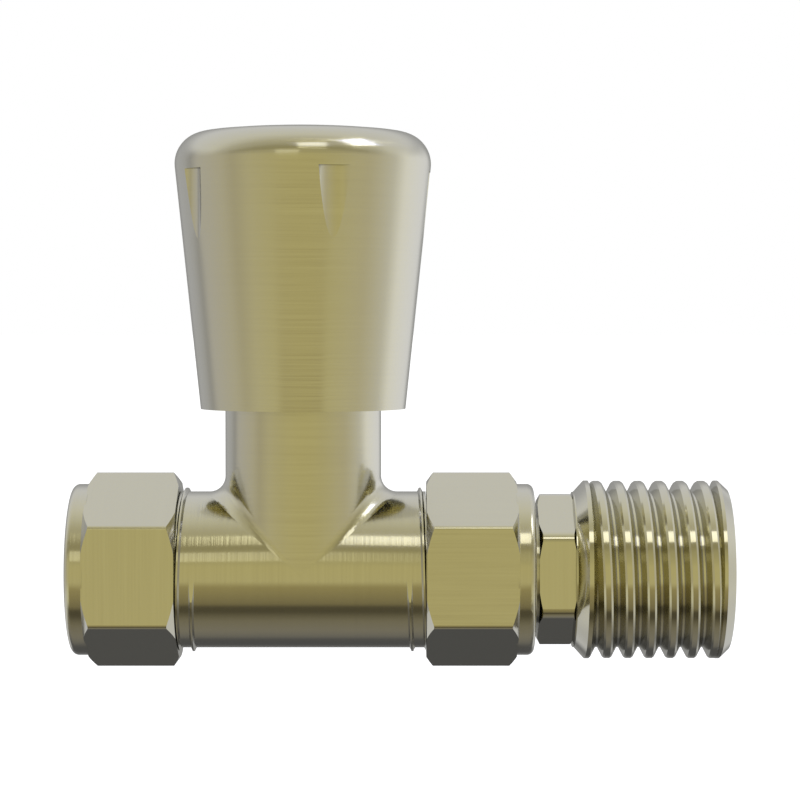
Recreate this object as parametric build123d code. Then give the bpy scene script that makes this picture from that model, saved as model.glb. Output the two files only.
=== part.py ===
from build123d import *
import os
from math import cos, radians, tan

# Straight manual radiator valve in brass, one file for each piece, in millimetres.
# X runs along the water way, from the pipe to the radiator, and Z runs up the spindle.
# The origin is the centre of the pipe stop. X stations below are measured from the spindle's axis.

# Clearances
RUNNING = 0.05
SLIDING = 0.1
LOOSE = 0.3

# How far joined forms run into each other, and how far a cutter reaches past its work
OVERLAP = 0.15
MARGIN = 1.0

# Casting: barrel, neck and the rib beside each nut
PIPE_STOP = 12.5
BARREL_WALL = 0.87
BARREL_HALF = 14.4
NECK_STEP = 0.06
NECK_WALL = 1.47
CREASE_RADIUS = 1.9
RIB_HEIGHT = 0.45
RIB_BASE = 0.75
RIB_CREST = 0.2
RIB_PITCH = 1.7
RIB_BOTTOM = 12.9
RIB_TURNS = 1.7

# Threaded ends under the two nuts
SPIGOT_WALL = 2.05
SPIGOT_CHAMFER = 0.6
INLET_SETBACK = 5.1

# Pipe joint
PIPE_D = 10.0
PIPE_CLEARANCE = 0.1
OLIVE_WALL = 0.25
OLIVE_LENGTH = 5.4
OLIVE_LAND = 1.0
OLIVE_ANGLE = 24.0

# Water way, seat and lift
DUCT_D = 7.0
DUCT_DROP = 4.4
OUTLET_BORE_D = 9.0
OUTLET_BORE_DEPTH = 7.0
OUTLET_DUCT_D = 6.0
OUTLET_DUCT_ANGLE = 37.0
OUTLET_DUCT_INSET = 1.9
CHAMBER_STEP = 1.0
CHAMBER_FLOOR = 3.2
SEAT_BORE_FLOOR = -6.4
SEAT_LIP_HEIGHT = 0.6
SEAT_LIP_WIDTH = 1.2
SEAT_LIP_ROUND = 0.2
LIFT = 3.0

# Disc assembly
DISC_WASHER_THICK = 2.5
DISC_MARGIN = 0.25
CARRIER_WALL = 0.7
CARRIER_GAP = 0.5
CARRIER_FLANGE_THICK = 1.5
CARRIER_RIM = 1.2
CARRIER_AF = 9.0
CARRIER_ROUND = 0.4
CARRIER_STEM = 11.4
PLATE_D = 6.4
PLATE_THICK = 0.6
SCREW_D = 3.0
SCREW_HEAD_D = 4.8
SCREW_HEAD_THICK = 1.3
SCREW_GRIP = 3.2
SCREW_SLOT = 0.6
SCREW_SLOT_DEPTH = 0.6
SCREW_HEAD_ROUND = 0.4

# Bonnet and gland
BONNET_THREAD_LENGTH = 9.7
SEAL_THICK = 0.6
BONNET_AF = 17.0
BONNET_HEX_THICK = 5.0
BONNET_BOSS_WALL = 1.5
BONNET_BOSS_THICK = 6.0
POCKET_RISE = 0.2
THRUST_THICK = 0.5
GLAND_STEP = 0.8
GLAND_AF = 13.0
GLAND_HEX_THICK = 2.4
HEAD_CHAMFER = 0.5
HEAD_CHAMFER_DEPTH = 0.8

# Spindle
SPINDLE_THREAD_D = 6.0
SPINDLE_THREAD_LENGTH = 8.7
SPINDLE_D = 8.0
COLLAR_STAND = 1.1
COLLAR_THICK = 1.6
SHANK_STEP = 0.5
RING_SECTION = 1.5
RING_GROOVE = 1.9
RING_INSET = 2.4
JOURNAL_COVER = 2.4
SPLINE_LEAD_IN = 0.7
SPLINE_SHORTFALL = 0.4
SPLINE_TEETH = 18
SPLINE_DEPTH = 0.45
CLIP_SETBACK = 2.0
CLIP_THICK = 1.0
CLIP_STAND = 0.8
CLIP_DEPTH = 0.6
CLIP_GAP = 55.0
SPINDLE_CHAMFER = 0.5
# Corners of one spline tooth: share of the tooth's step, and share of the tooth's depth below the tip
SPLINE_FORM = ((0.0, 0.0), (0.3, 0.0), (0.5, 1.0), (0.8, 1.0))

# Handwheel
WHEEL_SKIRT = 6.0
WHEEL_WALL = 1.75
WHEEL_TAPER = 6.0
SHOULDER_RADIUS = 3.7
DOME_RADIUS = 105.0
WHEEL_HEIGHT = 33.05
WHEEL_GAP = 0.485
WHEEL_CROWN = 2.45
WHEEL_LIP = 0.3
FLUTES = 5
FLUTE_RADIUS = 2.7
FLUTE_DEPTH = 0.85
FLUTE_DROP = 5.25
FLUTE_ANGLE = 16.0
HUB_GAP = 1.3
HUB_PLATE = 1.5
HUB_WALL = 1.3
HUB_SLEEVE_D = 11.6
HUB_RIBS = 5
HUB_RIB_THICK = 1.4
HUB_RIB_INSET = 0.4

# Nuts
NUT_WALL = 1.67
NUT_EDGE = 0.6
NUT_HEX = 10.6
NUT_CHAMFER = 0.8
NUT_CHAMFER_DEPTH = 1.1
NUT_COLLAR_STAND = 0.075
NUT_COLLAR = 2.0
NUT_COLLAR_ROUND = 0.75
UNION_LIP = 2.6
NUT_MOUTH_CHAMFER = 0.4
PIPE_HOLE_CLEARANCE = 0.15

# Radiator tail
SLEEVE_WALL = 1.8
SLEEVE_NOSE = 1.1
UNION_SEAL_THICK = 1.2
SNAP_THICK = 1.2
SNAP_STAND = 1.15
SNAP_DEPTH = 0.6
SNAP_GAP = 25.0
TAIL_HEX_GAP = 0.4
TAIL_HEX_THICK = 4.35
TAIL_HEX_AF = 15.8
TAIL_HEX_EDGE = 1.5
TAIL_HEX_CHAMFER = 0.4
TAIL_HEX_CHAMFER_DEPTH = 0.75
TAIL_THREADED = 18.05
TAIL_MOUTH_D = 13.0
TAIL_MOUTH_DEPTH = 13.0
TAIL_MOUTH_CHAMFER = 0.5
THREAD_D = 20.955
THREAD_DEPTH = 1.3275
THREAD_PITCH = 2.485
THREAD_ANGLE = 27.5
THREAD_CREST = 0.9
THREAD_CREST_DROP = 0.03
THREAD_ROUND = 0.15
THREAD_RUN_OUT = 0.5
THREAD_SETBACK = 1.05
START_CHAMFER = 1.2
START_LAND = 0.5
END_LAND = 0.4
END_CHAMFER = 1.05
END_CHAMFER_DEPTH = 1.0

# Sizes worked out from those above
SOCKET_R = PIPE_D / 2 + PIPE_CLEARANCE
OLIVE_R = PIPE_D / 2 + RUNNING + OLIVE_WALL + (OLIVE_LENGTH - OLIVE_LAND) / 2 * tan(radians(OLIVE_ANGLE))
SPIGOT_R = OLIVE_R + SPIGOT_WALL
BARREL_R = SPIGOT_R + BARREL_WALL
BARREL_D = 2 * BARREL_R
NECK_D = BARREL_D - NECK_STEP
NUT_AF = 2 * (SPIGOT_R + NUT_WALL)
NUT_COLLAR_D = NUT_AF + 2 * NUT_COLLAR_STAND
NUT_START = BARREL_HALF + SLIDING
NUT_HEX_END = NUT_START + NUT_HEX
NUT_END = NUT_HEX_END + NUT_COLLAR
INLET_END = NUT_END - INLET_SETBACK
OLIVE_START = INLET_END + SLIDING - (OLIVE_LENGTH - OLIVE_LAND) / 2
BONNET_THREAD_D = NECK_D - 2 * NECK_WALL
CHAMBER_D = BONNET_THREAD_D - 2 * CHAMBER_STEP
OUTLET_DUCT_END = CHAMBER_D / 2 - OUTLET_DUCT_INSET
CARRIER_FLANGE_D = CHAMBER_D - 2 * CARRIER_GAP
DISC_WASHER_D = CARRIER_FLANGE_D - 2 * (CARRIER_WALL + RUNNING)
SEAT_BORE_D = DISC_WASHER_D - 2 * (DISC_MARGIN + SEAT_LIP_WIDTH)
SEAT = CHAMBER_FLOOR + SEAT_LIP_HEIGHT
CARRIER_BASE = SEAT + DISC_WASHER_THICK
STEM_BASE = CARRIER_BASE + CARRIER_FLANGE_THICK
STEM_TOP = STEM_BASE + CARRIER_STEM
BONNET_BASE = STEM_BASE + LIFT + LOOSE
HEX_CEILING = STEM_TOP + LIFT + LOOSE
JOURNAL_BASE = HEX_CEILING + SLIDING
SCREW_TIP = CARRIER_BASE + SCREW_GRIP
SPINDLE_BASE = JOURNAL_BASE - SPINDLE_THREAD_LENGTH
CARRIER_BORE_FLOOR = SPINDLE_BASE - LIFT - LOOSE
NECK_TOP = JOURNAL_BASE + JOURNAL_COVER
BONNET_STEP = NECK_TOP - BONNET_THREAD_LENGTH
HEX_BASE = NECK_TOP + SEAL_THICK
BOSS_BASE = HEX_BASE + BONNET_HEX_THICK
BOSS_TOP = BOSS_BASE + BONNET_BOSS_THICK
POCKET_FLOOR = BOSS_BASE + POCKET_RISE
COLLAR_BASE = POCKET_FLOOR + THRUST_THICK
UPPER_THRUST = COLLAR_BASE + COLLAR_THICK
GLAND_BASE = UPPER_THRUST + THRUST_THICK
GLAND_TOP = BOSS_TOP + GLAND_HEX_THICK
COLLAR_D = SPINDLE_D + 2 * COLLAR_STAND
SHANK_D = SPINDLE_D - 2 * SHANK_STEP
POCKET_D = COLLAR_D + 2 * SLIDING
GLAND_THREAD_D = POCKET_D + 2 * GLAND_STEP
BONNET_BOSS_D = GLAND_THREAD_D + 2 * BONNET_BOSS_WALL
LOWER_RING = JOURNAL_BASE + RING_INSET
UPPER_RING = POCKET_FLOOR - RING_INSET
RING_R = (SPINDLE_D + RUNNING - RING_SECTION) / 2
GROOVE_D = 2 * (RING_R - RING_SECTION / 2) - RUNNING
WHEEL_BOTTOM = NECK_TOP - WHEEL_SKIRT
WHEEL_TOP = WHEEL_BOTTOM + WHEEL_HEIGHT
WHEEL_CEILING = WHEEL_TOP - WHEEL_CROWN
FLUTE_LEDGE = WHEEL_TOP - FLUTE_DROP
HUB_BOTTOM = GLAND_TOP + HUB_GAP
SPLINE_START = HUB_BOTTOM + SPLINE_LEAD_IN
SPLINE_TOP = WHEEL_CEILING - SPLINE_SHORTFALL
CLIP_HEIGHT = SPLINE_START + CLIP_SETBACK
CLIP_GROOVE_D = SHANK_D - 2 * CLIP_DEPTH
CLIP_D = SHANK_D + 2 * CLIP_STAND
WHEEL_BORE_R = BONNET_AF / 2 / cos(radians(30)) + WHEEL_GAP
WHEEL_BOTTOM_R = WHEEL_BORE_R + WHEEL_WALL
UNION_SHOULDER = NUT_END - UNION_LIP
SNAP_START = UNION_SHOULDER - SNAP_THICK
TAIL_START = SNAP_START - SLEEVE_NOSE
OUTLET_END = TAIL_START - UNION_SEAL_THICK
SLEEVE_D = OUTLET_BORE_D + 2 * SLEEVE_WALL
SNAP_D = SLEEVE_D + 2 * SNAP_STAND
SNAP_GROOVE_D = SLEEVE_D - 2 * SNAP_DEPTH
UNION_SEAL_D = SLEEVE_D - 2 * SLIDING
TAIL_HEX_START = NUT_END + TAIL_HEX_GAP
TAIL_HEX_END = TAIL_HEX_START + TAIL_HEX_THICK
TAIL_END = TAIL_HEX_END + TAIL_THREADED
THREAD_START = TAIL_HEX_END + START_CHAMFER + START_LAND
THREAD_STOP = TAIL_END - END_CHAMFER - END_LAND
THREAD_ROOT_D = THREAD_D - 2 * THREAD_DEPTH


def turned(outline, axis):
    """Solid of revolution of a closed outline of (x, z) points about the X or Z axis."""
    points = [(x, 0, z) for x, z in outline]
    return revolve(make_face(Polyline(*points, close=True)), axis)


def along_x(outline):
    return turned(outline, Axis.X)


def about_z(outline):
    return turned(outline, Axis.Z)


def tube_x(start, end, outer_d, inner_d=0.0):
    return along_x([(start, inner_d / 2), (end, inner_d / 2), (end, outer_d / 2), (start, outer_d / 2)])


def tube_z(bottom, top, outer_d, inner_d=0.0):
    return about_z([(inner_d / 2, bottom), (outer_d / 2, bottom), (outer_d / 2, top), (inner_d / 2, top)])


def hexagon(across_flats, edge_round):
    """Outline of a hexagon with rounded corners, one corner on the local Y axis."""
    corner = across_flats / 2 / cos(radians(30))
    outline = RegularPolygon(corner, 6, rotation=30)
    return fillet(outline.vertices(), edge_round) if edge_round else outline


def hex_x(start, end, across_flats, edge_round=0.0):
    """Hexagonal bar along X with a corner at the top."""
    face = Plane((start, 0, 0), x_dir=(0, 1, 0), z_dir=(1, 0, 0)) * hexagon(across_flats, edge_round)
    return extrude(face, end - start)


def hex_z(bottom, top, across_flats, edge_round=0.0):
    return extrude(Pos(0, 0, bottom) * hexagon(across_flats, edge_round), top - bottom)


def corner_radius(across_flats, edge_round):
    """Distance from the axis to the rounded corner of a hexagon."""
    return (across_flats / 2 - edge_round) / cos(radians(30)) + edge_round


def chamfered_hex(start, end, across_flats, edge_round, chamfer, depth, both=True):
    """Hexagonal bar along X whose corners are turned down at its end, or at both ends."""
    low = corner_radius(across_flats, edge_round) - depth
    high = low + depth + OVERLAP
    reach = chamfer * (high - low) / depth
    outline = [(start, 0), (start, low), (start + reach, high)] if both else [(start, 0), (start, high)]
    outline += [(end - reach, high), (end, low), (end, 0)]
    return hex_x(start, end, across_flats, edge_round) & along_x(outline)


def upright(shape):
    """Turns a shape drawn along X to stand along Z."""
    return Rot(Y=-90) * shape


def split_ring(thick, outer_d, inner_d, gap):
    """Flat ring about Z with a gap of so many degrees towards the front."""
    ring = tube_z(0, thick, outer_d, inner_d)
    reach = outer_d
    half = reach * tan(radians(gap / 2))
    wedge = make_face(Polyline((0, 0), (half, -reach), (-half, -reach), close=True))
    return ring - extrude(wedge, thick)


def barrel_and_neck():
    """Outer form of the casting: two crossing cylinders with a rounded crease between them."""
    barrel = tube_x(-BARREL_HALF, BARREL_HALF, BARREL_D)
    tee = barrel + tube_z(0, NECK_TOP, NECK_D)
    crease = tee.edges().filter_by(GeomType.LINE, reverse=True).filter_by(GeomType.CIRCLE, reverse=True)
    return fillet(crease, CREASE_RADIUS)


def run_out_rib():
    """Thin helical rib on the barrel, which rises out of it at the front and winds round to the outlet nut."""
    base = BARREL_R - OVERLAP
    crest = BARREL_R + RIB_HEIGHT
    start = RIB_BOTTOM - RIB_PITCH / 4
    section = Polyline(
        (base, 0, start - RIB_BASE / 2),
        (crest, 0, start - RIB_CREST / 2),
        (crest, 0, start + RIB_CREST / 2),
        (base, 0, start + RIB_BASE / 2),
        close=True,
    )
    path = Helix(RIB_PITCH, RIB_PITCH * RIB_TURNS, BARREL_R, center=(0, 0, start))
    rib = sweep(make_face(section), path, is_frenet=True)
    rib -= Pos(BARREL_R + MARGIN / 2, 0, start) * Box(MARGIN, BARREL_R, RIB_PITCH)
    rib = Rot(X=-90) * Rot(Y=90) * rib
    return rib & tube_x(0, BARREL_HALF, BARREL_D + 2 * MARGIN)


def duct(start_x, start_z, end_x, end_z, diameter):
    """Round water way between two points in the plane of the two axes."""
    start = Vector(start_x, 0, start_z)
    run = Vector(end_x, 0, end_z) - start
    return extrude(Plane(start, z_dir=run) * Circle(diameter / 2), run.length)


def pipe_socket():
    """Socket for the pipe, with the cone that the olive is pressed into."""
    slope = tan(radians(OLIVE_ANGLE))
    return along_x([
        (-PIPE_STOP, 0),
        (-PIPE_STOP, SOCKET_R),
        (-INLET_END + (OLIVE_R - SOCKET_R) / slope, SOCKET_R),
        (-INLET_END, OLIVE_R),
        (-INLET_END - OVERLAP, OLIVE_R),
        (-INLET_END - OVERLAP, 0),
    ])


def water_way():
    """Everything that is hollow in the casting below the bonnet's thread."""
    reach = OUTLET_END - OUTLET_BORE_DEPTH
    rise = tan(radians(OUTLET_DUCT_ANGLE))
    hollow = pipe_socket()
    hollow += duct(-PIPE_STOP - OVERLAP, 0, 0, -DUCT_DROP, DUCT_D)
    hollow += tube_z(SEAT_BORE_FLOOR, CHAMBER_FLOOR + OVERLAP, SEAT_BORE_D)
    hollow += tube_z(CHAMBER_FLOOR, NECK_TOP + OVERLAP, CHAMBER_D)
    hollow += duct(reach + OVERLAP, 0, OUTLET_DUCT_END, (reach - OUTLET_DUCT_END) * rise, OUTLET_DUCT_D)
    hollow += tube_x(reach, OUTLET_END + OVERLAP, OUTLET_BORE_D)
    return hollow


def seat_lip():
    inner = SEAT_BORE_D / 2
    outer = inner + SEAT_LIP_WIDTH
    top = SEAT - SEAT_LIP_ROUND
    return about_z([
        (inner, CHAMBER_FLOOR - OVERLAP),
        (outer, CHAMBER_FLOOR - OVERLAP),
        (outer, top),
        (outer - SEAT_LIP_ROUND, SEAT),
        (inner + SEAT_LIP_ROUND, SEAT),
        (inner, top),
    ])


def spigot(end):
    """Threaded end of the casting, drawn to the outlet side."""
    return along_x([
        (BARREL_HALF - OVERLAP, 0),
        (BARREL_HALF - OVERLAP, SPIGOT_R),
        (end - SPIGOT_CHAMFER, SPIGOT_R),
        (end, SPIGOT_R - SPIGOT_CHAMFER),
        (end, 0),
    ])


def valve_body():
    rib = run_out_rib()
    body = barrel_and_neck() + spigot(OUTLET_END) + mirror(spigot(INLET_END), about=Plane.YZ)
    body += rib + mirror(rib, about=Plane.YZ)
    body -= water_way()
    body -= tube_z(BONNET_STEP - LOOSE, NECK_TOP + OVERLAP, BONNET_THREAD_D + 2 * RUNNING)
    return body + seat_lip()


def nut_blank():
    """Outer form of either nut, drawn to the outlet side: hexagon and round collar."""
    hexagon_bar = chamfered_hex(NUT_START, NUT_HEX_END, NUT_AF, NUT_EDGE, NUT_CHAMFER, NUT_CHAMFER_DEPTH)
    collar = tube_x(NUT_HEX_END - OVERLAP, NUT_END, NUT_COLLAR_D)
    rim = collar.edges().filter_by(GeomType.CIRCLE).sort_by(Axis.X)[-1]
    return hexagon_bar + fillet(rim, NUT_COLLAR_ROUND)


def nut_bore(end):
    """Threaded bore of a nut up to its inner shoulder, with a chamfered mouth."""
    bore = SPIGOT_R + RUNNING
    return along_x([
        (NUT_START, 0),
        (NUT_START, bore + NUT_MOUTH_CHAMFER),
        (NUT_START + NUT_MOUTH_CHAMFER, bore),
        (end, bore),
        (end, 0),
    ])


def inlet_nut():
    slope = tan(radians(OLIVE_ANGLE))
    hole = PIPE_D / 2 + PIPE_HOLE_CLEARANCE
    shoulder = OLIVE_START + OLIVE_LENGTH / 2 + OLIVE_LAND / 2 + SLIDING
    cone_end = shoulder + (OLIVE_R - hole) / slope
    passage = along_x([
        (shoulder - OVERLAP, 0),
        (shoulder - OVERLAP, OLIVE_R),
        (shoulder, OLIVE_R),
        (cone_end, hole),
        (NUT_END - NUT_MOUTH_CHAMFER, hole),
        (NUT_END, hole + NUT_MOUTH_CHAMFER),
        (NUT_END, 0),
    ])
    return mirror(nut_blank() - nut_bore(shoulder) - passage, about=Plane.YZ)


def inlet_olive():
    """Compression ring: a plain bore, a short land and a taper to each end."""
    bore = PIPE_D / 2 + RUNNING
    end_r = bore + OLIVE_WALL
    middle = OLIVE_START + OLIVE_LENGTH / 2
    ring = along_x([
        (OLIVE_START, bore),
        (OLIVE_START, end_r),
        (middle - OLIVE_LAND / 2, OLIVE_R),
        (middle + OLIVE_LAND / 2, OLIVE_R),
        (OLIVE_START + OLIVE_LENGTH, end_r),
        (OLIVE_START + OLIVE_LENGTH, bore),
    ])
    return mirror(ring, about=Plane.YZ)


def union_nut():
    hole_d = SLEEVE_D + 2 * SLIDING
    return nut_blank() - nut_bore(UNION_SHOULDER) - tube_x(UNION_SHOULDER - OVERLAP, NUT_END, hole_d)


def union_seal():
    return tube_x(OUTLET_END, TAIL_START, UNION_SEAL_D, OUTLET_BORE_D)


def union_snap_ring():
    ring = split_ring(SNAP_THICK, SNAP_D, SNAP_GROOVE_D + 2 * RUNNING, SNAP_GAP)
    return Pos(SNAP_START, 0, 0) * Rot(Y=90) * ring


def thread_section():
    """Section of the coarse thread, with its crest a hair under the land's radius."""
    root = THREAD_ROOT_D / 2 - OVERLAP
    crest = THREAD_D / 2 - THREAD_CREST_DROP
    flank = (crest - root) * tan(radians(THREAD_ANGLE))
    half_crest = THREAD_CREST / 2
    return make_face(Polyline(
        (root, 0, -half_crest - flank),
        (crest - THREAD_ROUND, 0, -half_crest - THREAD_ROUND * tan(radians(THREAD_ANGLE))),
        (crest, 0, -half_crest + THREAD_ROUND),
        (crest, 0, half_crest - THREAD_ROUND),
        (crest - THREAD_ROUND, 0, half_crest + THREAD_ROUND * tan(radians(THREAD_ANGLE))),
        (root, 0, half_crest + flank),
        close=True,
    ))


def thread_helix():
    """The thread's ridge along X, longer than the threaded end, so that it runs into the land at each end."""
    start = TAIL_HEX_END - THREAD_SETBACK
    path = Helix(THREAD_PITCH, TAIL_END + THREAD_PITCH / 2 - start, THREAD_ROOT_D / 2, center=(0, 0, start))
    ridge = sweep(Pos(0, 0, start) * thread_section(), path, is_frenet=True)
    return Rot(Y=90) * ridge


def thread_blank(grooved):
    """Turned form of the threaded end, as the bare root or as the outside that the ridge keeps within."""
    root = THREAD_ROOT_D / 2
    land = THREAD_D / 2
    outline = [
        (TAIL_HEX_END - OVERLAP, 0),
        (TAIL_HEX_END - OVERLAP, root),
        (TAIL_HEX_END, root),
        (TAIL_HEX_END + START_CHAMFER, land),
    ]
    if grooved:
        outline += [
            (THREAD_START, land),
            (THREAD_START + THREAD_RUN_OUT, root),
            (THREAD_STOP - THREAD_RUN_OUT, root),
            (THREAD_STOP, land),
        ]
    outline += [
        (TAIL_END - END_CHAMFER, land),
        (TAIL_END, land - END_CHAMFER_DEPTH),
        (TAIL_END, 0),
    ]
    return along_x(outline)


def tail_bore():
    """Water way of the tail: narrow through the sleeve, wider in the threaded end."""
    cone = (TAIL_MOUTH_D - OUTLET_BORE_D) / 2
    mouth = TAIL_END - TAIL_MOUTH_DEPTH
    return along_x([
        (TAIL_START, 0),
        (TAIL_START, OUTLET_BORE_D / 2),
        (mouth - cone, OUTLET_BORE_D / 2),
        (mouth, TAIL_MOUTH_D / 2),
        (TAIL_END - TAIL_MOUTH_CHAMFER, TAIL_MOUTH_D / 2),
        (TAIL_END, TAIL_MOUTH_D / 2 + TAIL_MOUTH_CHAMFER),
        (TAIL_END, 0),
    ])


def radiator_tail():
    sleeve = tube_x(TAIL_START, TAIL_HEX_START + OVERLAP, SLEEVE_D)
    groove = tube_x(SNAP_START - RUNNING, UNION_SHOULDER + RUNNING, SLEEVE_D + MARGIN, SNAP_GROOVE_D)
    flats = chamfered_hex(
        TAIL_HEX_START, TAIL_HEX_END, TAIL_HEX_AF, TAIL_HEX_EDGE, TAIL_HEX_CHAMFER, TAIL_HEX_CHAMFER_DEPTH
    )
    threaded = thread_blank(True) + (thread_helix() & thread_blank(False))
    return threaded + flats + (sleeve - groove) - tail_bore()


def bonnet():
    """Headwork body: guide spigot, thread, hexagon and boss, bored for carrier, spindle and gland."""
    guide = (CHAMBER_D - 2 * SLIDING) / 2
    outer = about_z([
        (0, BONNET_BASE),
        (guide, BONNET_BASE),
        (guide, BONNET_STEP),
        (BONNET_THREAD_D / 2, BONNET_STEP + BONNET_THREAD_D / 2 - guide),
        (BONNET_THREAD_D / 2, HEX_BASE + OVERLAP),
        (0, HEX_BASE + OVERLAP),
    ])
    flats = chamfered_hex(HEX_BASE, BOSS_BASE, BONNET_AF, 0, HEAD_CHAMFER, HEAD_CHAMFER_DEPTH, both=False)
    outer += upright(flats) + tube_z(BOSS_BASE - OVERLAP, BOSS_TOP, BONNET_BOSS_D)
    outer -= hex_z(BONNET_BASE, HEX_CEILING, CARRIER_AF + 2 * SLIDING, CARRIER_ROUND)
    outer -= tube_z(HEX_CEILING - OVERLAP, POCKET_FLOOR + OVERLAP, SPINDLE_D + 2 * RUNNING)
    outer -= tube_z(POCKET_FLOOR, GLAND_BASE + OVERLAP, POCKET_D)
    return outer - tube_z(GLAND_BASE, BOSS_TOP, GLAND_THREAD_D + 2 * RUNNING)


def bonnet_seal():
    return tube_z(NECK_TOP, HEX_BASE, NECK_D, BONNET_THREAD_D + 2 * RUNNING)


def gland_nut():
    flats = chamfered_hex(BOSS_TOP, GLAND_TOP, GLAND_AF, 0, HEAD_CHAMFER, HEAD_CHAMFER_DEPTH, both=False)
    nut = tube_z(GLAND_BASE, BOSS_TOP + OVERLAP, GLAND_THREAD_D) + upright(flats)
    return nut - tube_z(GLAND_BASE, GLAND_TOP, SHANK_D + 2 * SLIDING)


def lower_thrust_washer():
    return tube_z(POCKET_FLOOR, COLLAR_BASE, COLLAR_D, SPINDLE_D + 2 * SLIDING)


def upper_thrust_washer():
    return tube_z(UPPER_THRUST, GLAND_BASE, COLLAR_D, SHANK_D + 2 * SLIDING)


def splined_bar(bottom, top, outer_d, depth):
    """Bar about Z with straight spline teeth."""
    step = 360 / SPLINE_TEETH
    points = []
    for tooth in range(SPLINE_TEETH):
        for share, drop in SPLINE_FORM:
            radius = outer_d / 2 - depth * drop
            points.append(Vector(radius, 0).rotate(Axis.Z, step * (tooth + share)))
    return extrude(Pos(0, 0, bottom) * make_face(Polyline(*points, close=True)), top - bottom)


def spindle():
    """Spindle from its lower thread to its splined top."""
    shaft = about_z([
        (0, SPINDLE_BASE),
        (SPINDLE_THREAD_D / 2 - SPINDLE_CHAMFER, SPINDLE_BASE),
        (SPINDLE_THREAD_D / 2, SPINDLE_BASE + SPINDLE_CHAMFER),
        (SPINDLE_THREAD_D / 2, JOURNAL_BASE),
        (SPINDLE_D / 2, JOURNAL_BASE),
        (SPINDLE_D / 2, COLLAR_BASE),
        (COLLAR_D / 2, COLLAR_BASE),
        (COLLAR_D / 2, UPPER_THRUST),
        (SHANK_D / 2, UPPER_THRUST),
        (SHANK_D / 2, SPLINE_START),
        (0, SPLINE_START),
    ])
    for height in (LOWER_RING, UPPER_RING):
        shaft -= tube_z(height - RING_GROOVE / 2, height + RING_GROOVE / 2, SPINDLE_D + MARGIN, GROOVE_D)
    spline = splined_bar(SPLINE_START, SPLINE_TOP, SHANK_D, SPLINE_DEPTH)
    spline &= about_z([
        (0, SPLINE_START),
        (SHANK_D, SPLINE_START),
        (SHANK_D / 2, SPLINE_TOP - SPINDLE_CHAMFER),
        (SHANK_D / 2 - SPINDLE_CHAMFER, SPLINE_TOP),
        (0, SPLINE_TOP),
    ])
    groove_top = CLIP_HEIGHT + CLIP_THICK + RUNNING
    groove = tube_z(CLIP_HEIGHT - RUNNING, groove_top, SHANK_D + MARGIN, CLIP_GROOVE_D)
    return shaft + spline - groove


def o_ring(height):
    return Pos(0, 0, height) * Torus(RING_R, RING_SECTION / 2)


def lower_o_ring():
    return o_ring(LOWER_RING)


def upper_o_ring():
    return o_ring(UPPER_RING)


def disc_carrier():
    """Hexagonal carrier: cup for the disc washer below, bore for the spindle's thread above."""
    rim_r = CARRIER_FLANGE_D / 2
    cup_r = DISC_WASHER_D / 2 + RUNNING
    cup = about_z([
        (0, CARRIER_BASE),
        (cup_r, CARRIER_BASE),
        (cup_r, CARRIER_BASE - CARRIER_RIM),
        (rim_r, CARRIER_BASE - CARRIER_RIM),
        (rim_r, STEM_BASE),
        (0, STEM_BASE),
    ])
    stem = hex_z(STEM_BASE - OVERLAP, STEM_TOP, CARRIER_AF, CARRIER_ROUND)
    thread_bore = tube_z(CARRIER_BORE_FLOOR, STEM_TOP, SPINDLE_THREAD_D + 2 * RUNNING)
    screw_hole = tube_z(CARRIER_BASE, SCREW_TIP + LOOSE, SCREW_D + 2 * RUNNING)
    return cup + stem - thread_bore - screw_hole


def disc_washer():
    return tube_z(SEAT, CARRIER_BASE, DISC_WASHER_D, SCREW_D + 2 * RUNNING)


def washer_plate():
    return tube_z(SEAT - PLATE_THICK, SEAT, PLATE_D, SCREW_D + 2 * RUNNING)


def washer_screw():
    """Slotted screw, head down, that holds plate and washer to the carrier."""
    under_head = SEAT - PLATE_THICK
    head = tube_z(under_head - SCREW_HEAD_THICK, under_head, SCREW_HEAD_D)
    rim = head.edges().filter_by(GeomType.CIRCLE).sort_by(Axis.Z)[0]
    head = fillet(rim, SCREW_HEAD_ROUND)
    slot = Pos(0, 0, under_head - SCREW_HEAD_THICK) * Box(SCREW_HEAD_D, SCREW_SLOT, 2 * SCREW_SLOT_DEPTH)
    return head + tube_z(under_head - OVERLAP, SCREW_TIP, SCREW_D) - slot


def wheel_radius(height):
    """Outer radius of the handwheel's straight taper at a height."""
    return WHEEL_BOTTOM_R + (height - WHEEL_BOTTOM) * tan(radians(WHEEL_TAPER))


def wheel_blank():
    """Tapered wheel with a shallow dome and a rounded shoulder, drawn as half its section."""
    taper = make_face(Polyline(
        (0, WHEEL_BOTTOM),
        (wheel_radius(WHEEL_BOTTOM), WHEEL_BOTTOM),
        (wheel_radius(WHEEL_TOP), WHEEL_TOP),
        (0, WHEEL_TOP),
        close=True,
    ))
    section = taper & (Pos(0, WHEEL_TOP - DOME_RADIUS) * Circle(DOME_RADIUS))
    section = fillet(section.vertices().sort_by(Axis.X)[-1], SHOULDER_RADIUS)
    return revolve(Rot(X=90) * section, Axis.Z)


def flute():
    """One upright thumb flute, closed above by its ledge."""
    distance = wheel_radius(FLUTE_LEDGE) - FLUTE_DEPTH + FLUTE_RADIUS
    cutter = Pos(0, -distance, 0) * tube_z(WHEEL_BOTTOM, FLUTE_LEDGE, 2 * FLUTE_RADIUS)
    return Rot(Z=FLUTE_ANGLE) * cutter


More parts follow.
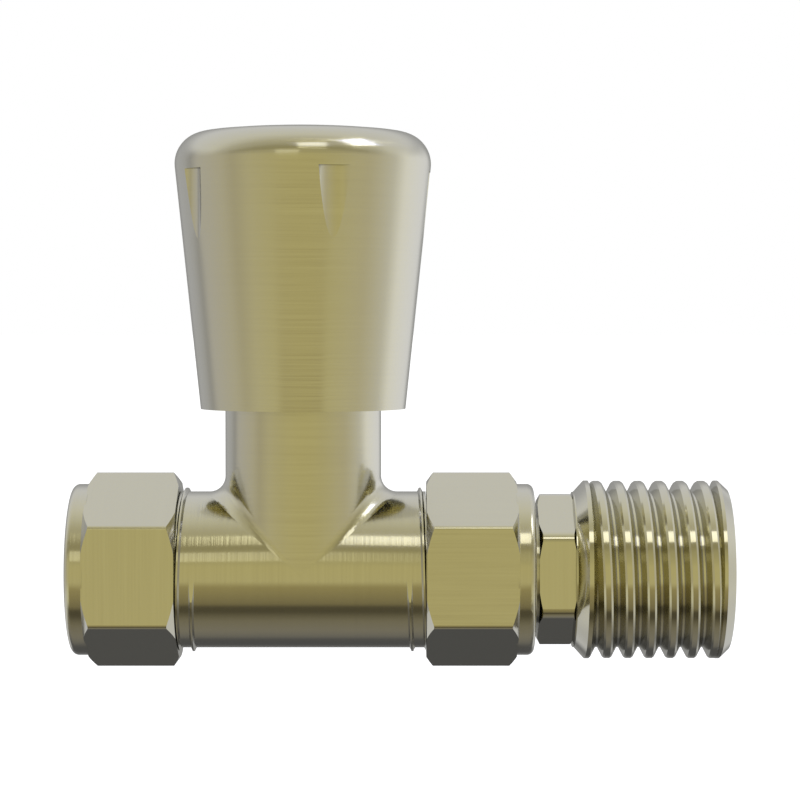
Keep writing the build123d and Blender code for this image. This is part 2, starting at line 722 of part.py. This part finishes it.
def handwheel():
    wheel = wheel_blank()
    for turn in range(FLUTES):
        wheel -= Rot(Z=360 / FLUTES * turn) * flute()
    return wheel - about_z([
        (0, WHEEL_BOTTOM),
        (WHEEL_BORE_R + WHEEL_LIP, WHEEL_BOTTOM),
        (WHEEL_BORE_R, WHEEL_BOTTOM + WHEEL_LIP),
        (WHEEL_BORE_R, WHEEL_CEILING),
        (0, WHEEL_CEILING),
    ])


def handwheel_hub():
    """Ribbed insert: outer ring, splined sleeve, ribs between them and a plate on top."""
    outer_r = WHEEL_BORE_R - RUNNING
    ring = tube_z(HUB_BOTTOM, WHEEL_CEILING, 2 * outer_r, 2 * (outer_r - HUB_WALL))
    hub = ring + tube_z(HUB_BOTTOM, WHEEL_CEILING, HUB_SLEEVE_D)
    hub += tube_z(WHEEL_CEILING - HUB_PLATE, WHEEL_CEILING, 2 * outer_r - HUB_WALL)
    span = outer_r - HUB_WALL / 2
    rib = Pos(span / 2, 0, (HUB_BOTTOM + WHEEL_CEILING) / 2) * Box(
        span, HUB_RIB_THICK, WHEEL_CEILING - HUB_BOTTOM - 2 * HUB_RIB_INSET
    )
    for turn in range(HUB_RIBS):
        hub += Rot(Z=360 / HUB_RIBS * turn) * rib
    lead_in = SPLINE_START + LOOSE
    socket = tube_z(HUB_BOTTOM, lead_in, SHANK_D + 2 * RUNNING)
    socket += splined_bar(lead_in, WHEEL_CEILING, SHANK_D + 2 * RUNNING, SPLINE_DEPTH)
    clip_groove = tube_z(CLIP_HEIGHT - RUNNING, CLIP_HEIGHT + CLIP_THICK + RUNNING, CLIP_D + 2 * RUNNING)
    return hub - socket - clip_groove


def hub_clip():
    return Pos(0, 0, CLIP_HEIGHT) * split_ring(CLIP_THICK, CLIP_D, CLIP_GROOVE_D + 2 * RUNNING, CLIP_GAP)


PIECES = [
    valve_body,
    inlet_nut,
    inlet_olive,
    union_nut,
    union_seal,
    union_snap_ring,
    radiator_tail,
    bonnet,
    bonnet_seal,
    gland_nut,
    lower_thrust_washer,
    upper_thrust_washer,
    spindle,
    lower_o_ring,
    upper_o_ring,
    disc_carrier,
    disc_washer,
    washer_plate,
    washer_screw,
    handwheel,
    handwheel_hub,
    hub_clip,
]


def main():
    os.makedirs("parts", exist_ok=True)
    for make in PIECES:
        piece = Pos(PIPE_STOP, 0, 0) * make()
        export_step(piece, f"parts/{make.__name__}.step")


main()
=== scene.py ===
import math
import bpy
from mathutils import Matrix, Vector


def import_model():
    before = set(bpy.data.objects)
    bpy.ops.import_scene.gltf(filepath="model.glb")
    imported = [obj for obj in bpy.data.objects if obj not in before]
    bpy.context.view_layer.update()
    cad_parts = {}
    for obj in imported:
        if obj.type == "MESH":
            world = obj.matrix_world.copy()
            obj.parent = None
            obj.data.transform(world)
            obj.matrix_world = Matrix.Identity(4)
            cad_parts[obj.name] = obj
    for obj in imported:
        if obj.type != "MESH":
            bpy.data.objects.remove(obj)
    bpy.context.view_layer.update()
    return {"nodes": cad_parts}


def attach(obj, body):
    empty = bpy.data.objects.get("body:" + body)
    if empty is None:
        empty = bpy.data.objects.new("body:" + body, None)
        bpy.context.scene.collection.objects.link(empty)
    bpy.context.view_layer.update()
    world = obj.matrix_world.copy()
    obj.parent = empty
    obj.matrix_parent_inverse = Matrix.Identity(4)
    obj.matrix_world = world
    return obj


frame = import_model()
nodes = frame["nodes"]

MM = 0.001
X_AXIS = (1.0, 0.0, 0.0)
Z_AXIS = (0.0, 0.0, 1.0)
SPINDLE = (12.5 * MM, 0.0, 0.0)
VALVE_MIDDLE = (0.024, 0.0, 0.02)


# Camera: level with the foot of the handwheel, a long lens from 0.29 m
CAMERA_PLACE = (0.0239, -0.2933, 0.0289)
CAMERA_AIM = (0.0239, 0.0, 0.0200)
LENS_MM = 112

camera_data = bpy.data.cameras.new("camera")
camera_data.lens = LENS_MM
camera_data.clip_start = 0.01
camera_data.clip_end = 20
camera = bpy.data.objects.new("camera", camera_data)
bpy.context.scene.collection.objects.link(camera)
camera.location = CAMERA_PLACE
view_line = Vector(CAMERA_AIM) - Vector(CAMERA_PLACE)
camera.rotation_euler = view_line.to_track_quat("-Z", "Y").to_euler()
bpy.context.scene.camera = camera
bpy.context.scene.view_settings.view_transform = "Standard"


class Tree:
    """Adds nodes to a node tree. An input takes a value or another node's socket."""

    def __init__(self, tree):
        self.tree = tree

    def node(self, kind, settings=(), **inputs):
        """Inputs go by name, or by number as i0, i1 and so on."""
        made = self.tree.nodes.new(kind)
        for key, value in dict(settings).items():
            setattr(made, key, value)
        for key, value in inputs.items():
            numbered = key[0] == "i" and key[1:].isdigit()
            self.put(made.inputs[int(key[1:]) if numbered else key], value)
        return made

    def put(self, socket, value):
        if isinstance(value, bpy.types.NodeSocket):
            self.tree.links.new(value, socket)
        else:
            socket.default_value = value

    def math(self, operation, a, b=0.0):
        return self.node("ShaderNodeMath", {"operation": operation}, i0=a, i1=b).outputs[0]

    def vector(self, operation, a, b=(0.0, 0.0, 0.0)):
        made = self.node("ShaderNodeVectorMath", {"operation": operation}, i0=a, i1=b)
        number = operation in ("DOT_PRODUCT", "LENGTH")
        return made.outputs["Value" if number else "Vector"]

    def split(self, vector):
        return self.node("ShaderNodeSeparateXYZ", i0=vector).outputs

    def join(self, x, y, z):
        return self.node("ShaderNodeCombineXYZ", i0=x, i1=y, i2=z).outputs[0]

    def remap(self, value, low, high, to_low=0.0, to_high=1.0, smooth=False):
        settings = {"interpolation_type": "SMOOTHSTEP" if smooth else "LINEAR"}
        made = self.node(
            "ShaderNodeMapRange", settings,
            i0=value, i1=low, i2=high, i3=to_low, i4=to_high,
        )
        return made.outputs[0]

    def noise(self, vector, scale, detail, roughness):
        made = self.node(
            "ShaderNodeTexNoise", i0=vector, Scale=scale, Detail=detail, Roughness=roughness,
        )
        return made.outputs[0]

    def mix(self, factor, a, b):
        settings = {"data_type": "FLOAT"}
        return self.node("ShaderNodeMix", settings, i0=factor, i2=a, i3=b).outputs[0]

    def mix_vector(self, factor, a, b):
        settings = {"data_type": "VECTOR"}
        return self.node("ShaderNodeMix", settings, i0=factor, i4=a, i5=b).outputs[1]

    def mix_colour(self, factor, a, b):
        settings = {"data_type": "RGBA"}
        return self.node("ShaderNodeMix", settings, i0=factor, i6=a, i7=b).outputs[2]

    def ramp(self, value, stops):
        made = self.node("ShaderNodeValToRGB", i0=value)
        elements = made.color_ramp.elements
        while len(elements) < len(stops):
            elements.new(0.5)
        for element, (place, colour) in zip(elements, stops):
            element.position = place
            element.color = (*colour, 1.0)
        return made.outputs[0]


def material(name):
    made = bpy.data.materials.new(name)
    made.use_nodes = True
    shader = made.node_tree.nodes["Principled BSDF"]
    return made, Tree(made.node_tree), shader


# Noise cells per metre: along a brush mark, across it, and in the wear
MARKS_ALONG = 48.0
FINE_MARKS = 3300.0
COARSE_MARKS = 1300.0
COARSE_SEED = 7.0
WORN_SCALE = 90.0


def lathe_frame(t, place, normal, axis, outward):
    """How far a point is along the turned profile, and the surface's tangent along it.

    Along the axis the profile runs outward, and on an end face it runs in towards the axis.
    """
    across = t.vector("CROSS_PRODUCT", axis, place)
    tangent = t.vector("CROSS_PRODUCT", across, normal)
    along = t.split(place)[axis.index(1.0)]
    radius = t.vector("LENGTH", across)
    facing = t.math("ABSOLUTE", t.vector("DOT_PRODUCT", normal, axis))
    inward = t.math("MULTIPLY", radius, t.remap(facing, 0.45, 0.55))
    profile = t.math("SUBTRACT", t.math("MULTIPLY", along, outward), inward)
    return profile, tangent


def streaks(t, place, profile, seed):
    """Fine and coarse marks, close together along the profile and long around it."""
    x, y, z = t.split(t.vector("MULTIPLY", place, (MARKS_ALONG,) * 3))
    long_way = t.math("ADD", t.math("ADD", x, y), z)
    fine_place = t.join(long_way, t.math("MULTIPLY", profile, FINE_MARKS), seed)
    coarse_place = t.join(
        long_way, t.math("MULTIPLY", profile, COARSE_MARKS), seed + COARSE_SEED,
    )
    fine = t.noise(fine_place, 1.0, 2.0, 0.55)
    coarse = t.noise(coarse_place, 1.0, 1.0, 0.5)
    return fine, coarse


# Bare brass, the deeper tone in its marks, and the clear film over both
BRASS = (0.61, 0.55, 0.225, 1.0)
BRASS_DEEP = (0.53, 0.465, 0.18, 1.0)
DEEP_SHARE = 0.45
ANISOTROPY = 0.8
COAT = {"Coat Weight": 0.25, "Coat Roughness": 0.08, "Coat IOR": 1.5}
MARK_STRENGTH = 0.95
MARK_DEPTH = 0.02 * MM

LACQUER = (0.66, 0.655, 0.62, 1.0)
LACQUER_GLOSS = 0.62
LACQUER_FALL = 2.3


def finish_brass(t, shader, place, profile, tangent, seed=0.0, rough=0.15, marks=1.0):
    """Brushed brass under a lacquer. The marks are in its colour, gloss and relief.

    The tangent lies across the marks. marks says how strong they are.
    """
    fine, coarse = streaks(t, place, profile, seed)
    worn = t.noise(place, WORN_SCALE, 2.0, 0.5)
    tone = t.remap(t.mix(0.35, fine, coarse), 0.30, 0.70)
    colour = t.mix_colour(t.math("MULTIPLY", tone, DEEP_SHARE * marks), BRASS, BRASS_DEEP)
    t.put(shader.inputs["Base Color"], colour)
    shader.inputs["Metallic"].default_value = 1.0
    gloss = t.remap(fine, 0.32, 0.68, rough - 0.035 * marks, rough + 0.045 * marks)
    gloss = t.math("ADD", gloss, t.remap(worn, 0.35, 0.65, -0.012, 0.018))
    t.put(shader.inputs["Roughness"], gloss)
    shader.inputs["Anisotropic"].default_value = ANISOTROPY
    to_world = {"vector_type": "VECTOR", "convert_from": "OBJECT", "convert_to": "WORLD"}
    grain = t.node("ShaderNodeVectorTransform", to_world, i0=tangent).outputs[0]
    t.put(shader.inputs["Tangent"], grain)
    for key, value in COAT.items():
        shader.inputs[key].default_value = value
    bump = t.node("ShaderNodeBump", Strength=MARK_STRENGTH * marks, Distance=MARK_DEPTH)
    t.put(bump.inputs["Height"], t.mix(0.3, fine, coarse))
    t.put(shader.inputs["Normal"], bump.outputs[0])
    lacquer(t, shader, grain, LACQUER_GLOSS * rough)


def lacquer(t, shader, grain, rough):
    """Clear film that levels out the marks: hardly seen face on, and nearly all at a slant."""
    film = t.node(
        "ShaderNodeBsdfAnisotropic",
        Color=LACQUER, Tangent=grain, Roughness=rough, Anisotropy=ANISOTROPY,
    )
    slant = t.node("ShaderNodeLayerWeight", Blend=0.5).outputs["Facing"]
    face_on = t.math("POWER", t.math("SUBTRACT", 1.0, slant), LACQUER_FALL)
    share = t.math("SUBTRACT", 1.0, face_on)
    both = t.node("ShaderNodeMixShader", i0=share, i1=shader.outputs[0], i2=film.outputs[0])
    output = next(node for node in t.tree.nodes if node.type == "OUTPUT_MATERIAL")
    t.put(output.inputs["Surface"], both.outputs[0])


def turned_brass(name, axis, centre=(0.0, 0.0, 0.0), outward=1.0, **options):
    """Brass brushed on a lathe, round an axis through this centre."""
    made, t, shader = material(name)
    coords = t.node("ShaderNodeTexCoord").outputs
    place = t.vector("SUBTRACT", coords["Object"], centre)
    profile, tangent = lathe_frame(t, place, coords["Normal"], axis, outward)
    finish_brass(t, shader, place, profile, tangent, **options)
    return made


CREASE_BLEND = 0.2 * MM


def cast_brass(name):
    """The casting: brushed round the barrel below the crease and round the neck above it."""
    made, t, shader = material(name)
    coords = t.node("ShaderNodeTexCoord").outputs
    place = t.vector("SUBTRACT", coords["Object"], SPINDLE)
    barrel, barrel_tangent = lathe_frame(t, place, coords["Normal"], X_AXIS, 1.0)
    neck, neck_tangent = lathe_frame(t, place, coords["Normal"], Z_AXIS, 1.0)
    x, _, z = t.split(place)
    above = t.math("SUBTRACT", z, t.math("ABSOLUTE", x))
    upper = t.remap(above, -CREASE_BLEND, CREASE_BLEND, smooth=True)
    profile = t.mix(upper, barrel, neck)
    tangent = t.mix_vector(upper, barrel_tangent, neck_tangent)
    finish_brass(t, shader, place, profile, tangent)
    return made


# The union nut: its collar begins at this x, its flats lie outside this radius, and its
# end faces, which are turned, face along the axis by more than this
COLLAR_X = (37.6 * MM, 37.7 * MM)
FLATS_RADIUS = (10.09 * MM, 10.11 * MM)
END_FACING = (0.30, 0.32)


def long_grained_brass(name, **options):
    """The union nut: its flats are brushed along the nut and the rest is turned."""
    made, t, shader = material(name)
    coords = t.node("ShaderNodeTexCoord").outputs
    place = coords["Object"]
    turned, turned_tangent = lathe_frame(t, place, coords["Normal"], X_AXIS, 1.0)
    x, y, z = t.split(place)
    radius = t.vector("LENGTH", t.join(0.0, y, z))
    hexagon = t.math(
        "MAXIMUM", t.remap(radius, *FLATS_RADIUS), t.remap(x, *COLLAR_X, 1.0, 0.0),
    )
    facing = t.math("ABSOLUTE", t.vector("DOT_PRODUCT", coords["Normal"], X_AXIS))
    flat = t.math("MULTIPLY", hexagon, t.remap(facing, *END_FACING, 1.0, 0.0))
    swept = t.math("ADD", z, t.math("MULTIPLY", y, 0.4))
    profile = t.mix(flat, turned, swept)
    along = t.vector("CROSS_PRODUCT", coords["Normal"], X_AXIS)
    tangent = t.mix_vector(flat, turned_tangent, along)
    finish_brass(t, shader, place, profile, tangent, **options)
    return made


def plain(name, colour, roughness, metallic=0.0, scale=1500.0, depth=0.01 * MM, tint=0.12):
    """A matt or satin material with a fine grain in its tone, gloss and relief."""
    made, t, shader = material(name)
    place = t.node("ShaderNodeTexCoord").outputs["Object"]
    fine = t.noise(place, scale, 4.0, 0.6)
    broad = t.noise(place, scale / 9, 2.0, 0.5)
    dark = tuple(c * (1 - 2 * tint) for c in colour)
    tone = t.remap(t.mix(0.5, fine, broad), 0.35, 0.65)
    t.put(shader.inputs["Base Color"], t.mix_colour(tone, (*colour, 1.0), (*dark, 1.0)))
    shader.inputs["Metallic"].default_value = metallic
    gloss = t.remap(fine, 0.3, 0.7, roughness - 0.07, roughness + 0.07)
    t.put(shader.inputs["Roughness"], gloss)
    bump = t.node("ShaderNodeBump", Strength=0.4, Distance=depth, Height=fine)
    t.put(shader.inputs["Normal"], bump.outputs[0])
    return made


wheel_brass = turned_brass("wheel_brass", Z_AXIS, SPINDLE, seed=3.0)
left_brass = turned_brass("left_nut_brass", X_AXIS, outward=-1.0, seed=11.0)
tail_brass = turned_brass("tail_brass", X_AXIS, seed=17.0, rough=0.11, marks=0.6)
headwork_brass = turned_brass("headwork_brass", Z_AXIS, SPINDLE, seed=23.0, rough=0.2)
olive_brass = turned_brass("olive_brass", X_AXIS, seed=29.0, rough=0.2)
steel = plain("spring_steel", (0.42, 0.42, 0.43), 0.28, metallic=1.0)
rubber = plain("seal_rubber", (0.030, 0.030, 0.032), 0.62, tint=0.2)
fibre = plain("seal_fibre", (0.30, 0.09, 0.06), 0.72, scale=2600.0, depth=0.02 * MM, tint=0.25)
washer_plastic = plain("thrust_plastic", (0.74, 0.73, 0.69), 0.42, tint=0.05)
hub_plastic = plain("hub_plastic", (0.045, 0.045, 0.05), 0.48)
casting_brass = cast_brass("casting_brass")

looks = {
    "valve_body": casting_brass,
    "inlet_nut": left_brass,
    "inlet_olive": olive_brass,
    "union_nut": long_grained_brass("union_nut_brass", seed=5.0),
    "union_seal": fibre,
    "union_snap_ring": steel,
    "radiator_tail": tail_brass,
    "bonnet": headwork_brass,
    "bonnet_seal": fibre,
    "gland_nut": headwork_brass,
    "lower_thrust_washer": washer_plastic,
    "upper_thrust_washer": washer_plastic,
    "spindle": headwork_brass,
    "lower_o_ring": rubber,
    "upper_o_ring": rubber,
    "disc_carrier": headwork_brass,
    "disc_washer": rubber,
    "washer_plate": headwork_brass,
    "washer_screw": headwork_brass,
    "handwheel": wheel_brass,
    "handwheel_hub": hub_plastic,
    "hub_clip": steel,
}
for name, look in looks.items():
    mesh = nodes[name].data
    mesh.materials.clear()
    mesh.materials.append(look)


# Fine screw threads of the two ends that the nuts run on. Base and crest are half widths.
END_RADIUS = 8.33 * MM
NUT_PITCH = 1.337 * MM
RIDGE_HEIGHT = 0.32 * MM
RIDGE_SINK = 0.03 * MM
RIDGE_BASE = 0.50 * MM
RIDGE_CREST = 0.16 * MM
RIDGE_FADE = 0.3 * NUT_PITCH
RIDGE_TIP = 0.01 * MM
STEPS_PER_TURN = 96


def thread_ridge(name, shoulder, mouth):
    """Right-hand ridge wound round one end of the casting. It fades out at both its ends."""
    length = abs(mouth - shoulder)
    steps = round(length / NUT_PITCH * STEPS_PER_TURN)
    points = []
    for step in range(steps + 1):
        done = step / steps
        x = shoulder + (mouth - shoulder) * done
        turn = 2 * math.pi * x / NUT_PITCH
        nearest_end = length * min(done, 1 - done)
        share = min(1.0, (nearest_end + RIDGE_TIP) / RIDGE_FADE)
        low = END_RADIUS - RIDGE_SINK
        high = low + share * (RIDGE_HEIGHT + RIDGE_SINK)
        section = (-RIDGE_BASE, low), (-RIDGE_CREST, high), (RIDGE_CREST, high), (RIDGE_BASE, low)
        for across, radius in section:
            y, z = radius * math.cos(turn), radius * math.sin(turn)
            points.append((x + share * across, y, z))
    faces = [(0, 1, 2, 3), tuple(4 * steps + corner for corner in (3, 2, 1, 0))]
    for step in range(steps):
        here, ahead = 4 * step, 4 * step + 4
        for side in range(4):
            other = (side + 1) % 4
            faces.append((here + side, ahead + side, ahead + other, here + other))
    if mouth < shoulder:
        faces = [tuple(reversed(face)) for face in faces]
    mesh = bpy.data.meshes.new(name)
    mesh.from_pydata(points, [], faces)
    mesh.shade_smooth()
    mesh.set_sharp_from_angle(angle=math.radians(25))
    mesh.materials.append(casting_brass)
    made = bpy.data.objects.new(name, mesh)
    bpy.context.scene.collection.objects.link(made)
    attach(made, "body")


thread_ridge("inlet_thread", -2.45 * MM, -8.75 * MM)
thread_ridge("outlet_thread", 27.45 * MM, 32.75 * MM)


# Stage: pale floor, white world, the grey tent that the metal mirrors, and three lamps
FLOOR_HALF = 30.0
FLOOR_Z = -60 * MM
SHADED_WHITE = (0.80, 0.80, 0.80, 1.0)
SEEN_FLOOR = (1.45, 1.45, 1.45, 1.0)
SEEN_WORLD = (1.0, 1.0, 1.0, 1.0)


def seen(t):
    """1 for camera, glossy and transmission rays, and 0 for the rest."""
    rays = t.node("ShaderNodeLightPath").outputs
    metal = t.math("MAXIMUM", rays["Is Glossy Ray"], rays["Is Transmission Ray"])
    return t.math("MAXIMUM", rays["Is Camera Ray"], metal)


def emptied(owner):
    """The owner's node tree with its ready-made nodes taken out."""
    owner.use_nodes = True
    owner.node_tree.nodes.clear()
    return Tree(owner.node_tree)


def floor():
    look = bpy.data.materials.new("pale_floor")
    t = emptied(look)
    shade = t.mix_colour(seen(t), SHADED_WHITE, SEEN_FLOOR)
    diffuse = t.node("ShaderNodeBsdfDiffuse", i0=shade)
    t.node("ShaderNodeOutputMaterial", i0=diffuse.outputs[0])
    mesh = bpy.data.meshes.new("floor")
    corners = [(-1, -1), (1, -1), (1, 1), (-1, 1)]
    points = [(FLOOR_HALF * x, FLOOR_HALF * y, 0) for x, y in corners]
    mesh.from_pydata(points, [], [(0, 1, 2, 3)])
    mesh.materials.append(look)
    made = bpy.data.objects.new("floor", mesh)
    made.location = (0.0, 0.0, FLOOR_Z)
    made.visible_glossy = False
    bpy.context.scene.collection.objects.link(made)


def world():
    made = bpy.data.worlds.new("white_studio")
    bpy.context.scene.world = made
    t = emptied(made)
    white = t.mix_colour(seen(t), SHADED_WHITE, SEEN_WORLD)
    background = t.node("ShaderNodeBackground", i0=white)
    t.node("ShaderNodeOutputWorld", i0=background.outputs[0])


def at(degrees):
    """Place on a tent ramp. 0 degrees is the camera's side, 90 is up or to the right."""
    return (degrees + 180) / 360


def grey(value, warm=0.0):
    """Grey that has more red and less blue the warmer it is."""
    return (value * (1 + 0.5 * warm), value, value * (1 - warm))


def tent_material():
    """Emission of the tent by direction.

    The first ramp runs over the top, as the barrel and the nuts mirror it. The second runs
    round the horizon, as the wheel and the neck mirror it, and holds away from the middle.
    """
    made = bpy.data.materials.new("tent")
    t = emptied(made)
    x, y, z = t.split(t.vector("NORMALIZE", t.node("ShaderNodeTexCoord").outputs["Object"]))
    front = t.math("MULTIPLY", y, -1.0)
    rise = t.math("ARCTAN2", z, front)
    lengthwise = t.ramp(t.remap(rise, -math.pi, math.pi), [
        (0.0, grey(0.44)),
        (at(-162), grey(0.40)),
        (at(-147), grey(0.13)),
        (at(-140), grey(0.10)),
        (at(-119), grey(0.10)),
        (at(-113), grey(0.18, 0.08)),
        (at(-96), grey(0.245, 0.13)),
        (at(-76), grey(0.225, 0.15)),
        (at(-66), grey(0.15, 0.17)),
        (at(-60), grey(0.087, 0.2)),
        (at(-52), grey(0.087, 0.2)),
        (at(-47), grey(0.23, 0.22)),
        (at(-21), grey(0.37, 0.20)),
        (at(-13), grey(0.62, 0.06)),
        (at(8), grey(0.62, 0.06)),
        (at(16), grey(0.54, 0.05)),
        (at(28), grey(0.46, 0.06)),
        (at(33), grey(0.37, 0.08)),
        (at(41), grey(0.38, 0.08)),
        (at(50), grey(0.52, 0.03)),
        (at(62), grey(0.56, 0.03)),
        (at(74), grey(0.68)),
        (at(90), grey(0.78)),
        (at(140), grey(0.78)),
        (at(158), grey(0.50)),
        (1.0, grey(0.44)),
    ])
    swing = t.math("ARCTAN2", x, front)
    sideways = t.ramp(t.remap(swing, -math.pi, math.pi), [
        (0.0, grey(0.44)),
        (at(-150), grey(0.55)),
        (at(-128), grey(0.50)),
        (at(-118), grey(0.36, 0.03)),
        (at(-108), grey(0.56, 0.05)),
        (at(-76), grey(0.57, 0.06)),
        (at(-64), grey(0.50, 0.09)),
        (at(-48), grey(0.60, 0.06)),
        (at(50), grey(0.60, 0.06)),
        (at(64), grey(0.58, 0.08)),
        (at(92), grey(0.69, 0.01)),
        (at(108), grey(0.97)),
        (at(150), grey(0.92)),
        (1.0, grey(0.44)),
    ])
    under = t.remap(z, -0.34, -0.20, 1.0, 0.0)
    sideways = t.mix_colour(under, sideways, (*grey(0.72), 1.0))
    above = t.remap(z, 0.12, 0.45, 1.0, 0.0, smooth=True)
    below = t.remap(z, -0.75, -0.50, 0.0, 1.0, smooth=True)
    side = t.remap(t.math("ABSOLUTE", x), 0.30, 0.48, 0.0, 1.0, smooth=True)
    share = t.math("MULTIPLY", side, t.math("MULTIPLY", above, below))
    colour = t.mix_colour(share, lengthwise, sideways)
    light = t.node("ShaderNodeEmission", Color=colour, Strength=1.0)
    t.node("ShaderNodeOutputMaterial", i0=light.outputs[0])
    made.cycles.emission_sampling = "NONE"
    return made


def tent():
    """Sphere round the stage that only reflections see."""
    mesh = bpy.data.meshes.new("tent")
    rows, columns, radius = 24, 48, 3.0
    points = []
    for row in range(rows + 1):
        tilt = math.pi * row / rows
        for column in range(columns):
            turn = 2 * math.pi * column / columns
            points.append((
                radius * math.sin(tilt) * math.cos(turn),
                radius * math.sin(tilt) * math.sin(turn),
                radius * math.cos(tilt),
            ))
    faces = []
    for row in range(rows):
        for column in range(columns):
            ahead = (column + 1) % columns
            faces.append((
                row * columns + column, row * columns + ahead,
                (row + 1) * columns + ahead, (row + 1) * columns + column,
            ))
    mesh.from_pydata(points, [], faces)
    mesh.materials.append(tent_material())
    made = bpy.data.objects.new("tent", mesh)
    made.location = VALVE_MIDDLE
    made.visible_camera = False
    made.visible_diffuse = False
    made.visible_transmission = False
    made.visible_shadow = False
    bpy.context.scene.collection.objects.link(made)


LAMP_COLOUR = (0.65, 0.68, 1.0)
LAMP_DISTANCE = 0.75


def softbox(name, azimuth, elevation, width, height, radiance):
    """Cool white area lamp, seen from the valve at these angles from the camera's side."""
    data = bpy.data.lights.new(name, "AREA")
    data.color = LAMP_COLOUR
    data.shape = "RECTANGLE"
    data.size = width
    data.size_y = height
    data.energy = radiance * math.pi * width * height
    made = bpy.data.objects.new(name, data)
    a, e = math.radians(azimuth), math.radians(elevation)
    out = Vector((math.sin(a) * math.cos(e), -math.cos(a) * math.cos(e), math.sin(e)))
    made.location = Vector(VALVE_MIDDLE) + out * LAMP_DISTANCE
    made.rotation_euler = out.to_track_quat("Z", "Y").to_euler()
    bpy.context.scene.collection.objects.link(made)


floor()
world()
tent()
softbox("front_low", -13, 21, 0.26, 0.17, 0.56)
softbox("front_high", 10.5, 46, 0.29, 0.19, 1.9)
softbox("side_high", 69, 51, 0.30, 0.28, 2.9)
